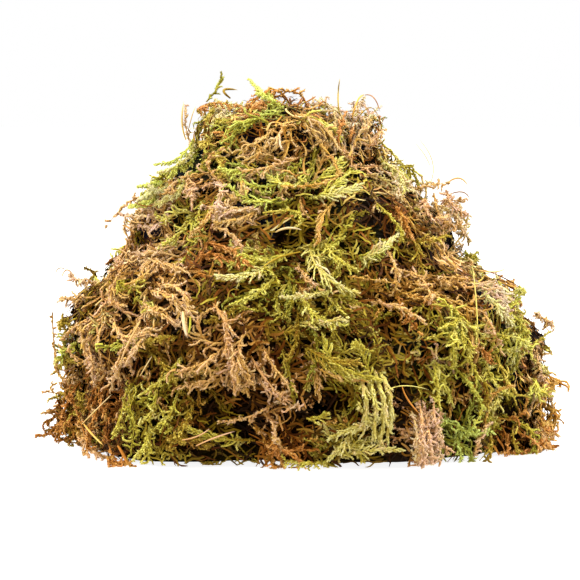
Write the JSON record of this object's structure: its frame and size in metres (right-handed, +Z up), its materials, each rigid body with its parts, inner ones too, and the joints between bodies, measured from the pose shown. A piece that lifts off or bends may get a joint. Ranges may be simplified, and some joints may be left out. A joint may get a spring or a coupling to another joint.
{
  "type": "moss clump",
  "caption": "Heaped clump of dried feather moss, green to tan, with a broad flat base, a narrower rounded top and loose frond sprays all round.",
  "frame": {"origin": "centre of the heap's bounding box on the floor that it rests on", "axes": "+X to the right along the heap's wide side as seen from the front, +Y away from the viewer, +Z up; the front of the heap faces -Y"},
  "size_m": [0.1563, 0.1402, 0.1112],
  "materials": {
    "moss_green": "dry yellow-green moss, fine leafy fibres, matte",
    "moss_tan": "dried tan moss, fine curled fibres, matte",
    "moss_brown": "old brown moss, matted fibres, matte"
  },
  "bodies": {
    "root": {"base_tuft_01": "moss_green", "base_tuft_02": "moss_brown", "base_tuft_03": "moss_tan", "base_tuft_04": "moss_green", "base_tuft_05": "moss_brown", "base_tuft_06": "moss_tan", "base_tuft_07": "moss_green", "base_tuft_08": "moss_brown", "base_tuft_09": "moss_tan", "base_tuft_10": "moss_green", "base_tuft_11": "moss_brown", "base_tuft_12": "moss_tan", "lower_tuft_01": "moss_tan", "lower_tuft_02": "moss_green", "lower_tuft_03": "moss_brown", "lower_tuft_04": "moss_tan", "lower_tuft_05": "moss_green", "lower_tuft_06": "moss_brown", "lower_tuft_07": "moss_tan", "lower_tuft_08": "moss_green", "lower_tuft_09": "moss_brown", "lower_tuft_10": "moss_tan", "lower_tuft_11": "moss_green", "middle_tuft_01": "moss_brown", "middle_tuft_02": "moss_tan", "middle_tuft_03": "moss_green", "middle_tuft_04": "moss_brown", "middle_tuft_05": "moss_tan", "middle_tuft_06": "moss_green", "middle_tuft_07": "moss_brown", "middle_tuft_08": "moss_tan", "middle_tuft_09": "moss_green", "upper_tuft_01": "moss_green", "upper_tuft_02": "moss_brown", "upper_tuft_03": "moss_tan", "upper_tuft_04": "moss_green", "upper_tuft_05": "moss_brown", "upper_tuft_06": "moss_tan", "crown_tuft_01": "moss_tan", "crown_tuft_02": "moss_green", "crown_tuft_03": "moss_brown"}
  },
  "joints": []
}
